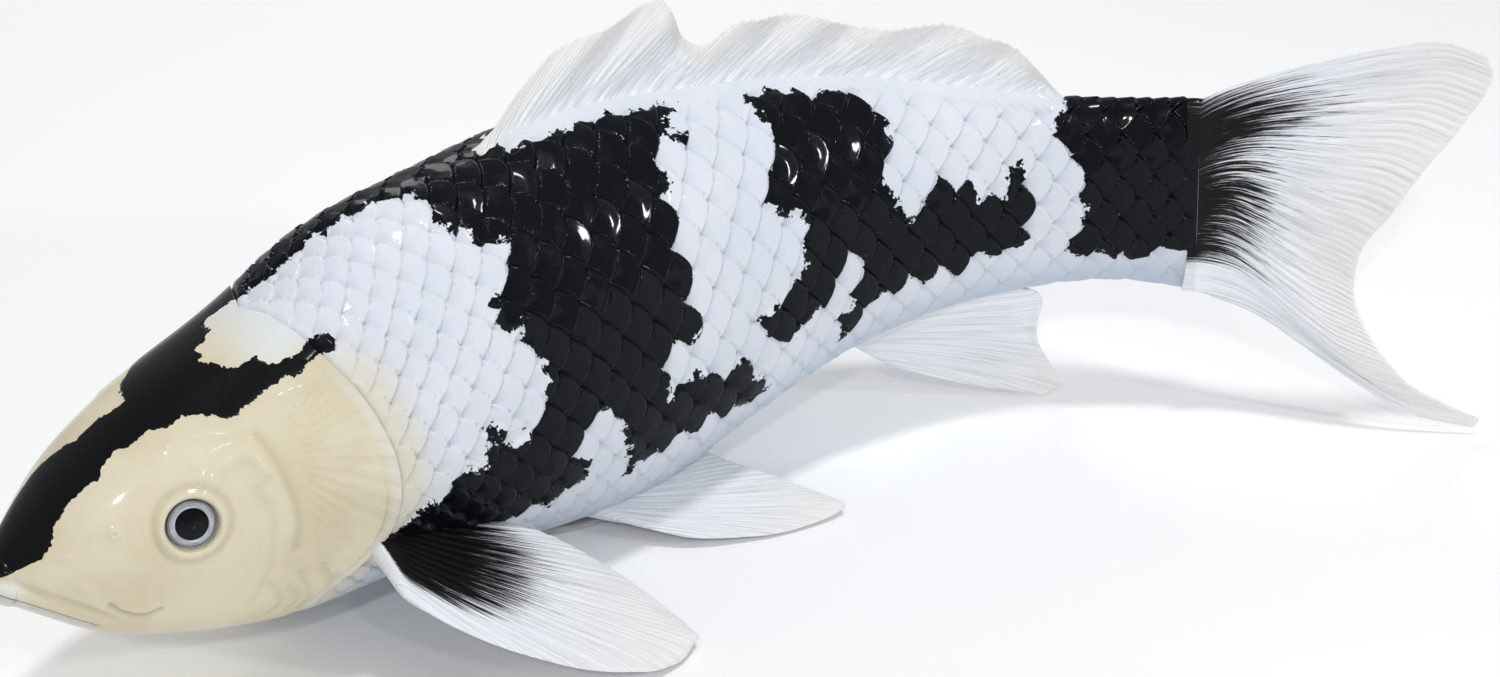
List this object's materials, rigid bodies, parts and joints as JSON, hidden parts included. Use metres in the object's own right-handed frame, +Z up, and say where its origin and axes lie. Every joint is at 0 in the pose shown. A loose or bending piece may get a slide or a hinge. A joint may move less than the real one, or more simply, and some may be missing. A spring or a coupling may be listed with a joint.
{
  "type": "koi ornament",
  "caption": "Rigid moulded koi with black patches on white scales, thin cast fins and glass eyes; rests on a belly pad as a shelf or garden ornament.",
  "frame": {"origin": "centre of the rest pad's flat underside, below the belly", "axes": "+X from head to tail, -Y towards the fish's left flank, +Z up; the table is the plane z = 0"},
  "size_m": [0.3425, 0.1479, 0.1192],
  "materials": {
    "head_lacquer": "cream cast resin with a black painted blaze, under a clear high-gloss lacquer",
    "lip_lacquer": "pale grey resin under gloss lacquer",
    "body_lacquer": "cool white cast scales with black painted patches, under a clear high-gloss lacquer",
    "fin_resin": "thin milky cast resin with fine rays and black painted streaks, satin to gloss",
    "iris_silver": "silver-grey painted ring",
    "pupil_black": "gloss black",
    "clear_glass": "clear polished glass",
    "dowel_steel": "bright drawn wire",
    "cast_resin": "unpainted cast resin",
    "felt_pad": "dark grey pressed felt"
  },
  "bodies": {
    "root": {"head_shell": "head_lacquer", "lower_jaw": "lip_lacquer", "body_shell_left": "body_lacquer", "body_shell_right": "body_lacquer", "neck_sleeve": "cast_resin", "dorsal_fin": "fin_resin", "caudal_fin": "fin_resin", "anal_fin": "fin_resin", "pectoral_fin_left": "fin_resin", "pectoral_fin_right": "fin_resin", "pelvic_fin_left": "fin_resin", "pelvic_fin_right": "fin_resin", "iris_left": "iris_silver", "iris_right": "iris_silver", "pupil_left": "pupil_black", "pupil_right": "pupil_black", "cornea_left": "clear_glass", "cornea_right": "clear_glass", "pectoral_pin_left": "dowel_steel", "pectoral_pin_right": "dowel_steel", "pelvic_pin_left": "dowel_steel", "pelvic_pin_right": "dowel_steel", "dorsal_pin_front": "dowel_steel", "dorsal_pin_rear": "dowel_steel", "anal_pin": "dowel_steel", "caudal_pin_upper": "dowel_steel", "caudal_pin_lower": "dowel_steel", "seam_dowel_front": "dowel_steel", "seam_dowel_rear": "dowel_steel", "belly_pad": "felt_pad"}
  },
  "joints": []
}
